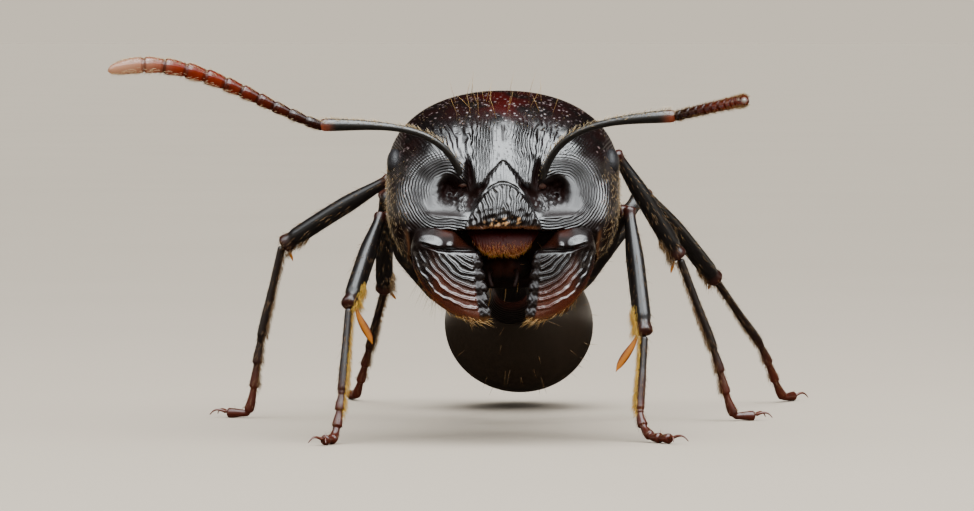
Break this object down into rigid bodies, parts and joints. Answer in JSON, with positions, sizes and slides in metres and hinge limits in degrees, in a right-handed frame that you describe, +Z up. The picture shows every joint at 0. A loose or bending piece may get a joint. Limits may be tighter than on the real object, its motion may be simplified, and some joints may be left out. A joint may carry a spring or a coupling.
{
  "type": "harvester ant",
  "caption": "Large-headed worker ant standing on all its feet, jaws half open and feelers raised, as a still life-size model in thin-cut pieces",
  "frame": {"origin": "bottom centre of the whole ant's bounding box, on the floor under its feet", "axes": "+Z up, the ant faces -Y, and its left side is towards +X"},
  "size_m": [0.0126, 0.018, 0.0067],
  "materials": {
    "cuticle": "near-black glossy cuticle with fine ridges, dark red on the crown",
    "mandible": "dark red-brown, coarsely ridged, smooth at the base",
    "labrum": "red-brown with golden bristles",
    "eye": "black and finely faceted",
    "funiculus": "dark red at the base, paler and downy at the tip",
    "gaster": "smooth, black and shining",
    "tarsus": "dark red-brown, bristly"
  },
  "bodies": {
    "root": {"head": "cuticle", "scape_left": "cuticle", "scape_right": "cuticle", "pronotum": "cuticle", "mesonotum": "cuticle", "propodeum": "cuticle", "petiole": "cuticle", "postpetiole": "cuticle", "coxa_fore_left": "cuticle", "femur_fore_left": "cuticle", "tibia_fore_left": "cuticle", "coxa_fore_right": "cuticle", "femur_fore_right": "cuticle", "tibia_fore_right": "cuticle", "coxa_mid_left": "cuticle", "femur_mid_left": "cuticle", "tibia_mid_left": "cuticle", "coxa_mid_right": "cuticle", "femur_mid_right": "cuticle", "tibia_mid_right": "cuticle", "coxa_hind_left": "cuticle", "femur_hind_left": "cuticle", "tibia_hind_left": "cuticle", "coxa_hind_right": "cuticle", "femur_hind_right": "cuticle", "tibia_hind_right": "cuticle", "mandible_left": "mandible", "mandible_right": "mandible", "labrum": "labrum", "eye_left": "eye", "eye_right": "eye", "funiculus_left": "funiculus", "funiculus_right": "funiculus", "gaster_1": "gaster", "gaster_2": "gaster", "gaster_3": "gaster", "gaster_4": "gaster", "tarsus_fore_left": "tarsus", "tarsus_fore_right": "tarsus", "tarsus_mid_left": "tarsus", "tarsus_mid_right": "tarsus", "tarsus_hind_left": "tarsus", "tarsus_hind_right": "tarsus"}
  },
  "joints": []
}
